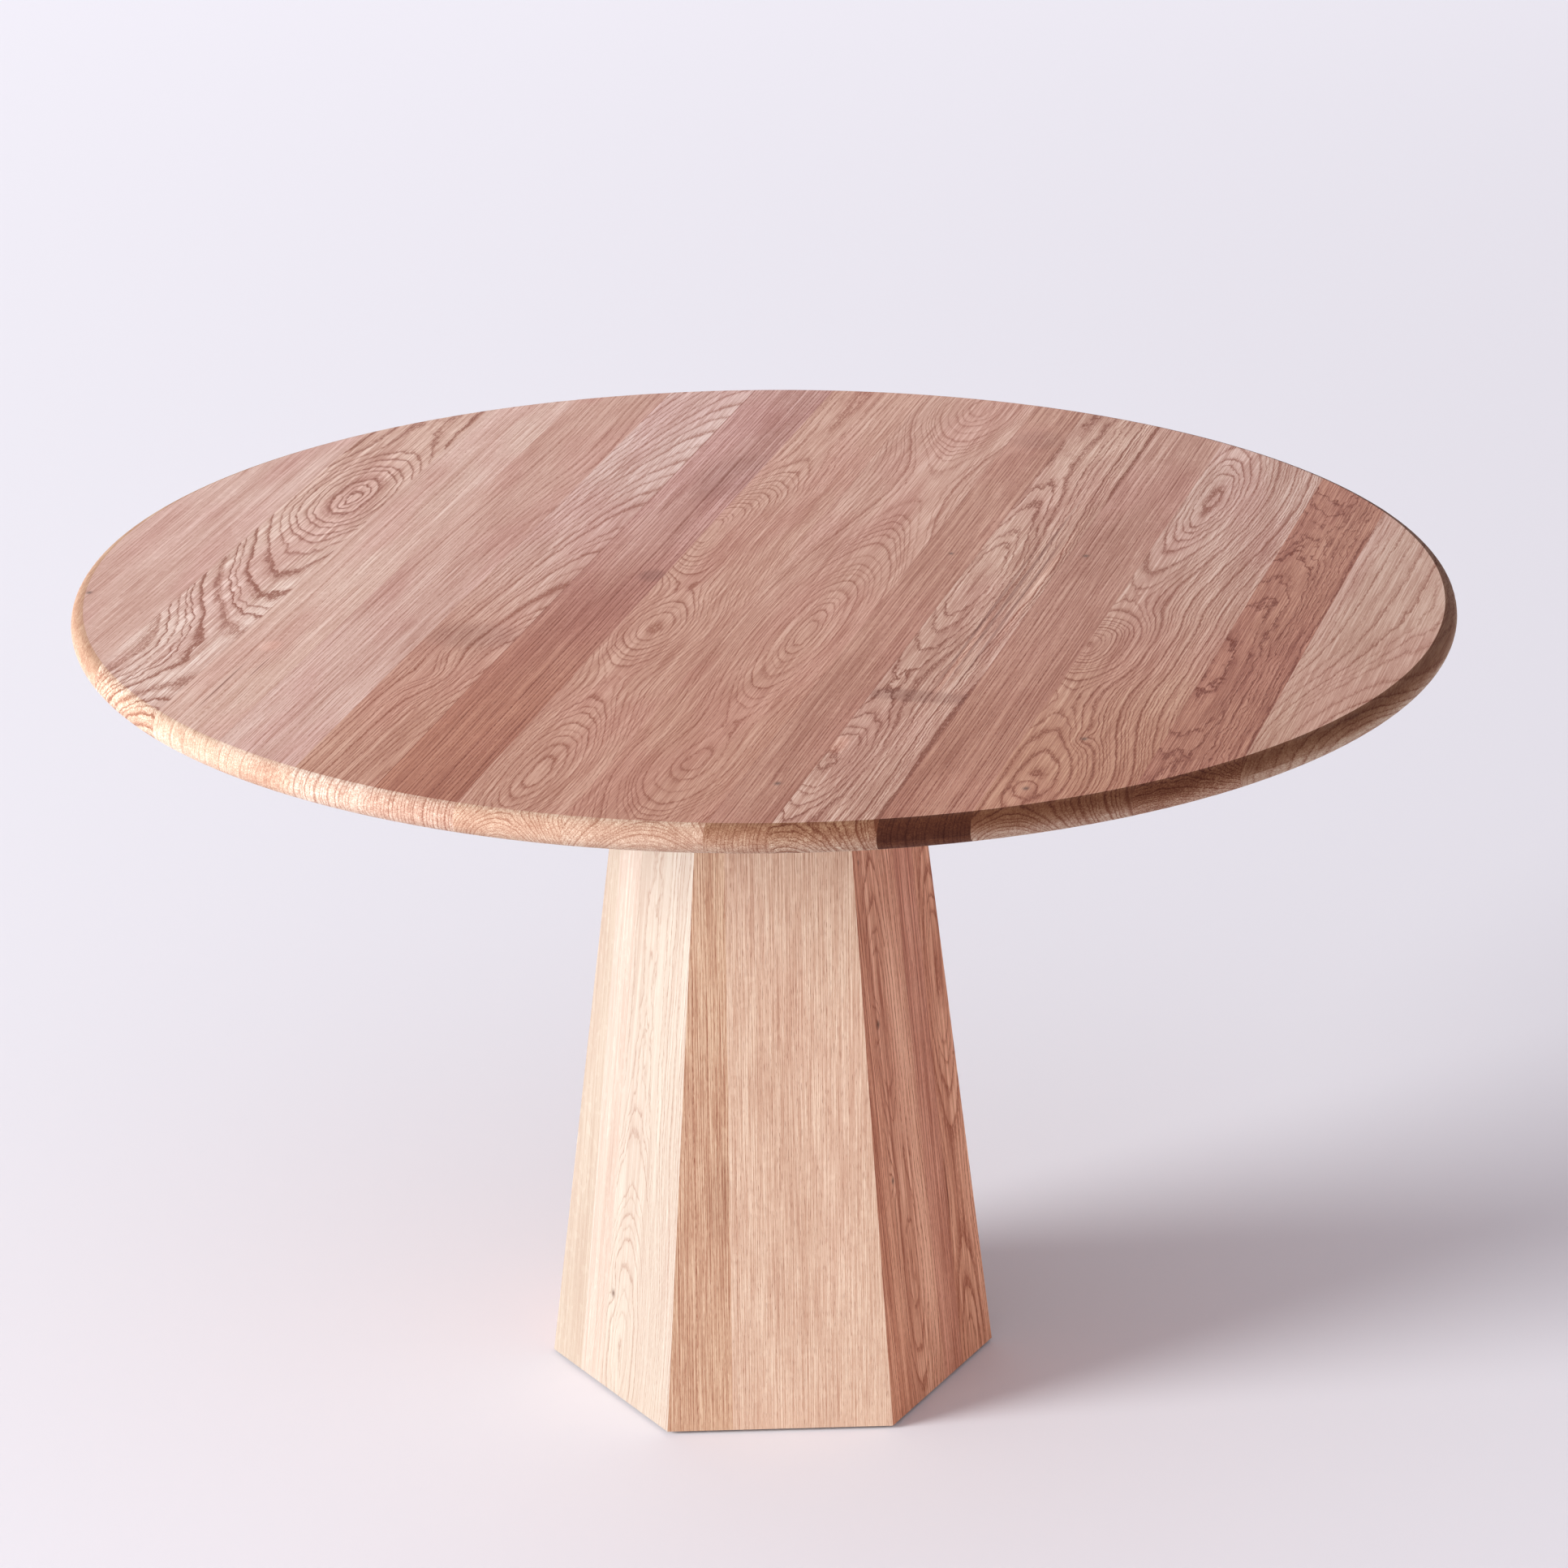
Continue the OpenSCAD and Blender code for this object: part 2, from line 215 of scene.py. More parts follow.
def add_world():
    """Studio walls, brightest at the left and the back, and fill light that is strongest from the front."""
    world = bpy.data.worlds.new("studio")
    world.use_nodes = True
    tree = world.node_tree
    t = Tree(tree)
    towards = t.node("ShaderNodeTexCoord").outputs["Generated"]
    fill = tree.nodes["Background"]
    fill.inputs["Color"].default_value = (1.02, 0.94, 1.0, 1)
    front = t.vec("DOT_PRODUCT", towards, (-0.25, -0.95, 0.0))
    t.plug(fill.inputs["Strength"], t.math("MULTIPLY_ADD", front, 0.36, 0.52))
    walls = t.node("ShaderNodeBackground")
    walls.inputs["Color"].default_value = (0.97, 0.96, 1.0, 1)
    left_back = t.vec("DOT_PRODUCT", towards, (-0.55, 0.83, 0.0))
    t.plug(walls.inputs["Strength"], t.span(left_back, -0.5, 0.7, 0.35, 0.92))
    mix = t.node("ShaderNodeMixShader")
    for socket, value in zip(mix.inputs, (t.node("ShaderNodeLightPath").outputs["Is Diffuse Ray"],
                                          walls.outputs[0], fill.outputs[0])):
        t.plug(socket, value)
    t.plug(tree.nodes["World Output"].inputs["Surface"], mix.outputs[0])
    bpy.context.scene.world = world
    bpy.context.scene.view_settings.view_transform = "Standard"


def add_floor():
    """Pale seamless paper, wide enough to fill every view."""
    mesh = bpy.data.meshes.new("studio_floor")
    reach = 40.0
    corners = [(-reach, -reach, 0), (reach, -reach, 0), (reach, reach, 0), (-reach, reach, 0)]
    mesh.from_pydata(corners, [], [(0, 1, 2, 3)])
    floor = bpy.data.objects.new("studio_floor", mesh)
    bpy.context.scene.collection.objects.link(floor)
    mat = bpy.data.materials.new("studio_paper")
    mat.use_nodes = True
    bsdf = mat.node_tree.nodes["Principled BSDF"]
    bsdf.inputs["Base Color"].default_value = (0.82, 0.82, 0.865, 1)
    bsdf.inputs["Roughness"].default_value = 0.9
    bsdf.inputs["Specular IOR Level"].default_value = 0.1
    floor.data.materials.append(mat)


add_camera()
add_world()
add_key_light()
add_backdrop_light()
add_floor()


# ---------------------------------------------------------------- oak

# Colours here are shares of red, green and blue that multiply the wood, apart from the two named as tones.
# The rounded edge of the top: the pale tone it tends to, the painted light that pales it, and what one step
# of its painted shade leaves.
EDGE_TONE = (0.64, 0.42, 0.32)
EDGE_PAINTED_LIFT = (1.01, 1.18, 1.18)
EDGE_PAINTED_SHADE_STEP = (0.43, 0.27, 0.185)
MOST_EDGE_PAINTED_SHADE_STEPS = 2.2
# Rosy patches, the painted shade that darkens and reddens a stave by its near end, dark and pale marks, and
# the heart of a knot.
ROSY = (0.95, 0.80, 0.83)
NEAR_PAINTED_SHADE = (0.10, 0.21, 0.29)
DARK_MARK = (0.45, 0.27, 0.20)
PALE_MARK = (1.5, 1.5, 1.5)
KNOT_TONE = (0.085, 0.028, 0.012)
# How far the noises of one stave lie from the next one's, one radian round the pith as millimetres of ray,
# and how far either side of the middle the painted shade by a stave's near end goes on changing, in
# millimetres.
SEED_STEP = 173.7
RAYS_TURN = 90.0
NEAR_PAINTED_REACH = 420
# How much faster than red the green and the blue go as the wood gets darker.
GREEN_FADE = 1.65
BLUE_FADE = 1.9


def make_oak_group():
    """Solid oak in a stave's own millimetres: X across the stave, Y into the wood, Z along the grain.

    Growth rings are cylinders round a pith line, so faces, edges and end grain agree with each other."""
    g = bpy.data.node_groups.new("oak", "ShaderNodeTree")
    for name in ("Point", "Light", "Dark"):
        g.interface.new_socket(name, in_out="INPUT", socket_type="NodeSocketVector")
    for name in ("Seed", "Pith across", "Pith depth", "Ring width", "Wander", "Ripple", "Contrast",
                 "Mottle", "Grain", "Blush", "End grain", "Edge", "Edge shade"):
        g.interface.new_socket(name, in_out="INPUT", socket_type="NodeSocketFloat")
    g.interface.new_socket("Color", in_out="OUTPUT", socket_type="NodeSocketColor")
    for name in ("Roughness", "Height"):
        g.interface.new_socket(name, in_out="OUTPUT", socket_type="NodeSocketFloat")
    t = Tree(g)
    give = t.node("NodeGroupInput").outputs
    take = t.node("NodeGroupOutput").inputs
    m = t.math
    x, y, z = t.separate(give["Point"])
    shift = m("MULTIPLY", give["Seed"], SEED_STEP)

    def stretched(across, along, extra=0.0):
        """The point squeezed so that noise cells are this many millimetres across and along the grain."""
        return t.combine(m("MULTIPLY_ADD", x, 1 / across, shift), m("MULTIPLY", y, 1 / across),
                         m("MULTIPLY_ADD", z, 1 / along, extra))

    def swing(noise, size):
        """A noise from 0 to 1 turned into one that swings either side of nothing by half this size."""
        return m("MULTIPLY", m("SUBTRACT", noise, 0.5), size)

    # distance from the pith, bent by slow wander and fine ripple, in millimetres
    wander = m("MULTIPLY", swing(t.noise(stretched(60, 240), detail=1.0), 4.0), give["Wander"])
    ripple = swing(t.noise(stretched(11, 34, 31.0), detail=2.0, roughness=0.6), 4.0)
    ripple = m("MULTIPLY", ripple, give["Ripple"])
    dx = m("SUBTRACT", x, give["Pith across"])
    dy = m("SUBTRACT", give["Pith depth"], y)
    radius = m("SQRT", m("ADD", m("MULTIPLY", dx, dx), m("MULTIPLY", dy, dy)))
    bent = m("ADD", m("ADD", radius, wander), ripple)

    # the year a point grew in and its part of that year; years are of uneven width and darkness
    years = m("DIVIDE", bent, give["Ring width"])
    uneven = swing(t.noise_line(m("ADD", years, shift), 0.27), 2.8)
    phase = m("ADD", years, uneven)
    part = m("FRACT", phase)
    lot = t.random_line(m("ADD", m("FLOOR", phase), shift))

    # one year: sharp start, porous dark early wood, then pale late wood
    ring = t.ramp(part, [(0.0, 0.25), (0.05, 1.0), (0.14, 0.85), (0.26, 0.30), (0.45, 0.10), (0.85, 0.03),
                         (1.0, 0.25)])
    ring = m("MULTIPLY", ring, m("MULTIPLY_ADD", lot, 0.8, 0.55))
    dots = t.span(t.noise(stretched(1.1, 5.5, 3.0), detail=1.0), 0.40, 0.60)
    ring = m("MULTIPLY", ring, m("MULTIPLY_ADD", dots, 0.75, 0.50))
    early = t.span(part, 0.34, 0.02)

    # pores: dashes along the faces, dots on end grain, most of them in early wood
    pores = t.span(t.noise(stretched(0.6, 8.5, 7.0), detail=1.5), 0.54, 0.66)
    pores = m("MULTIPLY", pores, m("MULTIPLY_ADD", early, 0.75, 0.35))

    # rays: thin radial plates that show as pale flecks on quarter-sawn faces
    turn = m("MULTIPLY", m("ARCTAN2", dx, dy), RAYS_TURN)
    plates = t.combine(m("MULTIPLY_ADD", turn, 1 / 0.8, shift), m("MULTIPLY", radius, 1 / 10.0),
                       m("MULTIPLY", z, 1 / 9.0))
    rays = t.span(t.noise(plates, detail=0.0), 0.60, 0.70)

    # long streaks, cloudy changes of tone, fibres, and rosy patches
    streak = t.noise(stretched(5.0, 330, 11.0), detail=3.0, roughness=0.75)
    cloud = t.noise(stretched(42, 300, 23.0), detail=2.0)
    fibre = t.span(t.noise(stretched(0.95, 85, 5.0), detail=2.0, roughness=0.7), 0.32, 0.68)
    blush = t.span(t.noise(stretched(55, 210, 47.0), detail=1.0), 0.42, 0.66)

    # all of them together say how dark the wood is: 0 for its pale tone, 1 for its dark one
    dark = m("MULTIPLY", ring, give["Contrast"])
    tones = m("ADD", swing(streak, 1.8), swing(cloud, 1.0))
    dark = m("ADD", dark, m("MULTIPLY", tones, give["Mottle"]))
    grain = m("MULTIPLY_ADD", pores, 0.62, swing(fibre, 0.78))
    dark = m("MULTIPLY_ADD", grain, give["Grain"], dark)
    dark = m("SUBTRACT", dark, m("MULTIPLY", rays, 0.10))
    dark = m("ADD", dark, m("MULTIPLY", give["End grain"], 0.25))
    steps = m("MAXIMUM", m("MINIMUM", dark, 1.3), -0.4)

    def fade(share, by):
        """What is left after this many steps, where each step leaves this share of red, green and blue."""
        return t.combine(*(m("POWER", channel, by) for channel in share))

    # the colour, and how the rounded edge departs from it: a pale tone, a painted light that pales it, and
    # painted shade
    light = t.mix(m("MULTIPLY", give["Edge"], 0.5), give["Light"], EDGE_TONE)
    colour = t.vec("MULTIPLY", light, fade(t.separate(give["Dark"]), steps))
    blush = m("MULTIPLY", blush, give["Blush"])
    blush = m("MULTIPLY", blush, m("SUBTRACT", 1.0, give["Edge"]))
    colour = t.mix(blush, colour, ROSY, "MULTIPLY")
    colour = t.mix(give["Edge"], colour, EDGE_PAINTED_LIFT, "MULTIPLY")
    t.plug(take["Color"], t.vec("MULTIPLY", colour, fade(EDGE_PAINTED_SHADE_STEP, give["Edge shade"])))
    rough = m("MULTIPLY_ADD", dark, 0.12, 0.44)
    t.plug(take["Roughness"], m("MULTIPLY_ADD", give["Edge"], 0.25, rough))
    height = m("ADD", m("MULTIPLY", pores, -1.0), m("MULTIPLY", ring, -0.25))
    t.plug(take["Height"], m("ADD", height, m("MULTIPLY", fibre, 0.15)))
    return g


OAK = make_oak_group()


class Figure:
    """How one stave was cut from its log, and its tone. All lengths are in the stave's millimetres.

    pith: how far across the pith line runs; depth: how far it lies under the face; tilt: its slope.
    ring: the width of a year; wander, ripple: how far rings stray, slowly and finely; contrast: how dark.
    tint: its tone against the common pale oak; near: how much painted shade darkens and reddens it by its
    near end, standing in for the sheen its far end catches.
    mottle: how streaked it is; dark: how much red is left where it is darkest; grain: how strongly its
    fibres and pores show; end: how strong the painted shade on its rounded edge is, partly its darker end
    grain.
    bends: (along, half length, deeper, aside), where the pith dips or swings and rings close in arches.
    knots: (across, along, size); swirls: the same without a dark heart.
    marks: (across, along, half width, half length, strength), dark if above 0 and pale if below."""

    def __init__(self, seed, pith, depth, tilt=0.0, ring=3.0, wander=1.2, ripple=0.25, contrast=0.5,
                 tint=(1.0, 1.0, 1.0), near=0.0, mottle=1.0, dark=0.64, grain=1.0, end=0.3,
                 bends=(), knots=(), swirls=(), marks=()):
        self.seed, self.pith, self.depth, self.tilt = seed, pith, depth, tilt
        self.ring, self.wander, self.ripple, self.contrast = ring, wander, ripple, contrast
        self.tint, self.near, self.mottle, self.dark = tint, near, mottle, dark
        self.grain, self.end = grain, end
        self.bends, self.knots, self.swirls, self.marks = bends, knots, swirls, marks


def oak_colours(base, tint, dark):
    """Pale wood for a stave, and the share of its red, green and blue that is left at the dark tone."""
    light = tuple(min(c * k, 1) for c, k in zip(base, tint))
    return light, (dark, dark ** GREEN_FADE, dark ** BLUE_FADE)


def stave_material(name, axes, origin, base, blush, figure):
    """Oak cut as the figure says. axes: directions across, inward and along the stave; origin: its zero."""
    mat = bpy.data.materials.new(name)
    mat.use_nodes = True
    t = Tree(mat.node_tree)
    m = t.math
    bsdf = mat.node_tree.nodes["Principled BSDF"]
    turn = Matrix([tuple(a) for a in axes])
    where = t.node("ShaderNodeTexCoord")
    place = t.node("ShaderNodeMapping", vector_type="POINT")
    t.plug(place.inputs["Vector"], where.outputs["Object"])
    place.inputs["Scale"].default_value = (MM, MM, MM)
    place.inputs["Rotation"].default_value = turn.to_euler("XYZ")
    place.inputs["Location"].default_value = turn @ Vector(origin) * -MM
    point = place.outputs[0]
    x, y, z = t.separate(point)

    def bump(across, along, half_width, half_length, power=1.0):
        """1 at a place on the face, falling to 0 past these distances across and along."""
        away = m("DIVIDE", m("SUBTRACT", z, along), half_length)
        square = m("MULTIPLY", away, away)
        if half_width is not None:
            aside = m("DIVIDE", m("SUBTRACT", x, across), half_width)
            square = m("MULTIPLY_ADD", aside, aside, square)
        if power != 1.0:
            square = m("POWER", square, power)
        return m("EXPONENT", m("MULTIPLY", square, -1.0))

    # the pith under the face: a straight line, dipping at bends, knots and swirls
    depth = m("MULTIPLY_ADD", z, figure.tilt, figure.depth)
    pith = figure.pith
    for along, half, deeper, aside in figure.bends:
        bell = bump(0, along, None, half)
        depth = m("MULTIPLY_ADD", bell, deeper, depth)
        if aside:
            pith = m("MULTIPLY_ADD", bell, aside, pith)
    for across, along, size in (*figure.knots, *figure.swirls):
        depth = m("MULTIPLY_ADD", bump(across, along, size, size * 2.4), size * 0.9, depth)

    # which way the surface looks tells end grain and the rounded edge, whose painted shade deepens towards
    # its top; on the darkest staves it is partly their darker end grain
    normal = where.outputs["Normal"]
    end = m("ABSOLUTE", t.vec("DOT_PRODUCT", normal, tuple(axes[2])))
    inward = t.vec("DOT_PRODUCT", normal, tuple(axes[1]))
    edge = t.span(m("ABSOLUTE", inward), 0.9985, 0.97)
    # painted shade on the rounded edge: strongest near its top, capped, scaled by the stave's end value
    upper = t.span(inward, -0.85, 0.30, 1.7, 0.15, smooth=False)
    shade = m("MINIMUM", m("MULTIPLY", upper, figure.end), MOST_EDGE_PAINTED_SHADE_STEPS)
    light, dark = oak_colours(base, figure.tint, figure.dark)
    oak = t.node("ShaderNodeGroup", node_tree=OAK)
    for socket, value in (("Point", point), ("Pith across", pith), ("Pith depth", depth), ("Light", light),
                          ("Dark", dark), ("Seed", figure.seed), ("Ring width", figure.ring),
                          ("Wander", figure.wander), ("Ripple", figure.ripple),
                          ("Contrast", figure.contrast), ("Mottle", figure.mottle),
                          ("Grain", figure.grain), ("Blush", blush), ("End grain", t.span(end, 0.35, 0.9)),
                          ("Edge", edge), ("Edge shade", m("MULTIPLY", edge, shade))):
        t.plug(oak.inputs[socket], value)

    colour = oak.outputs["Color"]
    # painted shade: the stave darkened and reddened towards its near end, away from the rounded edge,
    # standing in for the sheen its far end catches
    if figure.near:
        painted_near_shade = tuple(1.0 - figure.near * loss for loss in NEAR_PAINTED_SHADE)
        painted_near_share = m("MULTIPLY", t.span(z, NEAR_PAINTED_REACH, -NEAR_PAINTED_REACH), m("SUBTRACT", 1.0, edge))
        colour = t.mix(painted_near_share, colour, painted_near_shade, "MULTIPLY")
    for across, along, half_width, half_length, strength in figure.marks:
        spot = m("MULTIPLY", bump(across, along, half_width, half_length, 2.5), abs(strength))
        colour = t.mix(spot, colour, DARK_MARK if strength > 0 else PALE_MARK, "MULTIPLY")
    for across, along, size in figure.knots:
        heart = bump(across, along, size * 0.30, size * 0.42)
        colour = t.mix(m("MULTIPLY", heart, 0.85), colour, KNOT_TONE)
    t.plug(bsdf.inputs["Base Color"], colour)
    t.plug(bsdf.inputs["Roughness"], oak.outputs["Roughness"])
    bsdf.inputs["Specular IOR Level"].default_value = 0.25
    add_relief(t, bsdf, oak.outputs["Height"], 0.35, 0.0004)
    return mat


# Staves of the top from left to right. Across is measured from the top's centre, along from its middle.
# Their tints and near values, and the tints of the column's three front faces, were not chosen by hand:
# a program fitted them to mean tones measured on the photo.
TOP_BASE = (0.615, 0.355, 0.275)
TOP_BLUSH = 0.45
TOP_FIGURES = [
    Figure(1, -900, 60, ring=3.0, contrast=0.34, tint=(1.06, 1.19, 1.25), near=0.4, grain=0.8, end=0.3,
           knots=[(-562, -166, 8)]),
    Figure(2, -430, 50, ring=6.4, wander=1.6, ripple=1.7, contrast=1.3, tint=(1.02, 1.10, 1.07),
           near=-1.4, dark=0.53, end=0.0,
           bends=[(150, 100, -44, 0), (-300, 200, 36, 44)]),
    Figure(3, -120, 16, ring=3.2, contrast=0.55, tint=(1.12, 1.32, 1.37), near=0.4, grain=0.85,
           end=0.12,
           swirls=[(-345, -405, 24), (-362, -262, 15), (-378, -330, 12)],
           marks=[(-367, -365, 1.1, 55, 0.9), (-352, -318, 0.9, 26, 0.8), (-362, -262, 9, 14, -0.3)]),
    Figure(4, -230, 34, tilt=0.03, ring=3.0, contrast=0.6, tint=(0.91, 0.88, 0.84), near=-1.4, end=0.0,
           bends=[(300, 170, 12, 0)]),
    Figure(5, -160, 62, tilt=0.085, ring=3.9, ripple=0.55, contrast=1.15, tint=(1.07, 1.25, 1.37),
           near=1.8, grain=1.15, end=0.0,
           swirls=[(-205, -300, 20)], marks=[(-204, -196, 44, 34, 0.30)]),
    Figure(6, 60, 20, ring=3.6, contrast=0.95, tint=(0.87, 0.82, 0.86), near=2.4, dark=0.58, end=0.05,
           marks=[(-102, -4, 12, 16, 0.5), (-112, 288, 30, 70, 0.25)]),
    Figure(7, -60, 50, ring=2.5, ripple=0.65, contrast=1.05, tint=(0.94, 0.92, 0.85), near=0.8,
           grain=1.2, end=0.05,
           bends=[(130, 130, -34, -30), (-140, 90, -22, 0), (-500, 150, -26, 10)]),
    Figure(8, 67, 62, ring=3.0, ripple=0.6, contrast=0.9, tint=(0.94, 0.94, 0.89), near=1.2, grain=1.2,
           end=0.05,
           bends=[(-120, 230, -46, 2), (-470, 110, -22, -4), (560, 130, -30, -6)]),
    Figure(9, 330, 25, ring=3.4, contrast=0.75, tint=(0.77, 0.65, 0.55), near=0.5, dark=0.58, end=0.4,
           knots=[(137, 119, 7), (141, -481, 9)], marks=[(135, 470, 26, 30, 0.25)]),
    Figure(10, 172, 36, ring=4.4, wander=2.6, ripple=1.2, contrast=1.4, tint=(0.90, 0.92, 0.86),
           near=0.2, dark=0.53, grain=1.1, end=0.5,
           bends=[(60, 190, -16, 4), (-420, 90, -18, -8)],
           marks=[(199, -254, 60, 15, 0.45), (165, -383, 7, 22, -0.4), (207, -40, 1.4, 190, 0.75),
                  (215, 40, 1.8, 250, 0.7), (224, -20, 1.5, 210, 0.7), (231, 60, 3.0, 170, -0.3),
                  (211, -150, 2.2, 120, -0.3)]),
    Figure(11, 460, 22, ring=3.4, contrast=0.9, tint=(0.80, 0.73, 0.67), near=1.6, dark=0.58, end=12.0,
           knots=[(254, 141, 9)]),
    Figure(12, 316, 46, ring=3.2, ripple=0.85, contrast=1.35, tint=(0.95, 1.06, 1.08), near=2.1,
           dark=0.58, end=0.95,
           bends=[(-94, 70, -36, -8), (330, 190, -24, 16), (-430, 120, -16, 20)],
           knots=[(354, -322, 9), (334, -445, 9)]),
    Figure(13, 430, 96, ring=2.1, wander=2.0, ripple=1.15, contrast=1.3, tint=(0.63, 0.41, 0.28),
           near=0.2, dark=0.55, grain=1.4, end=0.9,
           bends=[(260, 120, 6, 10), (-120, 160, -6, -12)]),
    Figure(14, 592, 104, ring=6.5, wander=2.2, ripple=1.1, contrast=0.95, tint=(0.87, 0.94, 0.90),
           near=1.0, end=0.85,
           bends=[(-330, 190, -66, 0)]),
]
TOP_AXES = (Vector((math.cos(GRAIN_ANGLE), -math.sin(GRAIN_ANGLE), 0)), Vector((0, 0, -1)),
            Vector((math.sin(GRAIN_ANGLE), math.cos(GRAIN_ANGLE), 0)))

# Staves of the column, face by face from left to right. Along is measured up the face from its foot.
COLUMN_BASE = (0.58, 0.375, 0.27)
COLUMN_BLUSH = 0.12
COLUMN_FIGURES = {
    "front": [
        Figure(21, -160, 28, ring=2.4, contrast=0.45, tint=(1.01, 1.00, 0.91), mottle=0.6, dark=0.58,
               grain=1.25,
               marks=[(-50, 215, 12, 42, 0.20)]),
        Figure(22, 190, 26, ring=1.7, contrast=0.22, tint=(1.12, 1.20, 1.20), mottle=0.6),
    ],
    # Painted shade: the front-right face's staves are tinted redder and deeper for the shade on that side,
    # partly their darker wood.
    "front_right": [
        Figure(23, -190, 30, ring=3.0, contrast=0.95, tint=(1.33, 0.97, 0.78), mottle=1.9, dark=0.59),
        Figure(24, -38, 40, ring=3.2, ripple=0.8, contrast=1.1, tint=(1.43, 1.12, 0.94), mottle=1.9,
               dark=0.58,
               bends=[(370, 130, -16, -8), (120, 110, -12, 4)],
               knots=[(-53, 363, 8), (-55, 216, 6), (-60, 515, 6)]),
        Figure(25, 120, 30, ring=3.0, contrast=0.95, tint=(1.27, 0.88, 0.74), mottle=1.9, dark=0.59),
        Figure(26, 66, 46, ring=3.4, ripple=0.6, contrast=1.15, tint=(1.42, 1.07, 0.87), mottle=1.9,
               dark=0.58,
               bends=[(360, 150, -26, 0), (0, 130, -20, -4)], marks=[(43, 170, 1.2, 34, 0.9)]),
    ],
    "back_right": [
        Figure(27, -40, 60, ring=3.2, contrast=0.45, tint=(1.03, 1.03, 1.03),
               bends=[(380, 220, -32, 0)]),
        Figure(28, 200, 24, ring=2.2, contrast=0.30, tint=(0.96, 0.92, 0.92)),
    ],
    "back": [
        Figure(29, -170, 24, ring=2.1, contrast=0.30, tint=(1.00, 0.98, 0.98)),
        Figure(30, 30, 64, ring=3.4, contrast=0.5, tint=(0.95, 0.90, 0.90),
               bends=[(260, 190, -36, 6)]),
    ],
    "back_left": [
        Figure(31, -30, 58, ring=3.2, contrast=0.45, tint=(0.93, 0.87, 0.87),
               bends=[(500, 190, -32, 0)]),
        Figure(32, 180, 26, ring=2.1, contrast=0.28, tint=(1.05, 1.06, 1.06)),
    ],
    # Painted light: the front-left face's staves are tinted paler and less red for the bright light on that
    # side.
    "front_left": [
        Figure(33, -210, 28, ring=2.4, contrast=0.2, tint=(0.76, 0.96, 1.05), mottle=0.6, grain=0.25),
        Figure(34, -120, 26, ring=2.4, contrast=0.16, tint=(0.84, 1.05, 1.20), mottle=0.6, grain=0.25,
               bends=[(110, 60, -6, 20)]),
        Figure(35, 12, 56, ring=3.2, ripple=1.1, contrast=0.5, tint=(0.80, 1.04, 1.18), mottle=0.6,
               grain=0.25,
               bends=[(40, 150, -36, 0)], knots=[(-7, 91, 8)]),
    ],
}


def face_axes(azimuth):
    """Across (to the right as seen from outside), inward and up the slope of one face of the column."""
    across = Vector((-math.sin(azimuth), math.cos(azimuth), 0))
    outward = Vector((math.cos(azimuth), math.sin(azimuth), 0))
    inward = outward * -math.cos(LEAN) - Vector((0, 0, math.sin(LEAN)))
    return across, inward, across.cross(inward)


def dress(node, mat):
    """Gives a CAD node its one material."""
    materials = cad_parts[node].data.materials
    materials.clear()
    materials.append(mat)


for k, figure in enumerate(TOP_FIGURES, 1):
    name = f"top_stave_{k}"
    dress(name, stave_material("oak_" + name, TOP_AXES, (0, 0, TOP_Z), TOP_BASE, TOP_BLUSH, figure))

for face, figures in COLUMN_FIGURES.items():
    azimuth = math.radians(FACES[face])
    foot = Vector((FOOT_APOTHEM * math.cos(azimuth), FOOT_APOTHEM * math.sin(azimuth), BASE_Z))
    for k, figure in enumerate(figures, 1):
        name = f"{face}_panel_stave_{k}"
        mat = stave_material("oak_" + name, face_axes(azimuth), foot, COLUMN_BASE, COLUMN_BLUSH, figure)
        dress(name, mat)


# ---------------------------------------------------------------- plywood, steel, zinc, nylon and the cleats

def start_material(name):
    """A new material with its helper, its shader and the point in millimetres."""
    mat = bpy.data.materials.new(name)
    mat.use_nodes = True
    t = Tree(mat.node_tree)
    point = t.vec("SCALE", t.node("ShaderNodeTexCoord").outputs["Object"], scale=MM)
    return mat, t, mat.node_tree.nodes["Principled BSDF"], point


def birch_plywood():
    """Pale face veneer with a soft figure; the edges show thin plies that alternate in tone."""
    mat, t, bsdf, point = start_material("birch_plywood")
    m = t.math
    x, y, z = t.separate(point)
    veneer = t.noise(t.combine(m("MULTIPLY", x, 1 / 60), m("MULTIPLY", y, 1 / 4), 0.0), detail=3.0)
    fleck = t.noise(t.vec("DIVIDE", point, (7.0, 0.9, 0.9)))
    colour = t.mix(t.span(veneer, 0.3, 0.7), (0.66, 0.50, 0.31), (0.52, 0.36, 0.20))
    colour = t.mix(t.span(fleck, 0.56, 0.68, 0.0, 0.35), colour, (0.36, 0.22, 0.11))
    ply_thickness = 1.4
    ply = m("PINGPONG", m("DIVIDE", z, ply_thickness), 1.0)
    edge_tone = t.mix(t.span(ply, 0.35, 0.65), (0.60, 0.44, 0.26), (0.34, 0.20, 0.10))
    up = m("ABSOLUTE", t.separate(t.node("ShaderNodeNewGeometry").outputs["Normal"])[2])
    t.plug(bsdf.inputs["Base Color"], t.mix(t.span(up, 0.6, 0.8), edge_tone, colour))
    t.plug(bsdf.inputs["Roughness"], t.span(veneer, 0.2, 0.8, 0.52, 0.66))
    add_relief(t, bsdf, fleck, 0.25, 0.0002)
    return mat


def black_steel():
    """Black powder coat: a fine orange-peel skin, slightly worn and dusty."""
    mat, t, bsdf, point = start_material("black_steel")
    peel = t.noise(point, scale=0.9, detail=2.0)
    dust = t.noise(point, scale=0.02, detail=4.0)
    colour = t.mix(t.span(dust, 0.35, 0.7), (0.012, 0.012, 0.013), (0.030, 0.029, 0.028))
    t.plug(bsdf.inputs["Base Color"], colour)
    t.plug(bsdf.inputs["Roughness"], t.span(dust, 0.3, 0.7, 0.42, 0.58))
    add_relief(t, bsdf, peel, 0.30, 0.0003)
    return mat


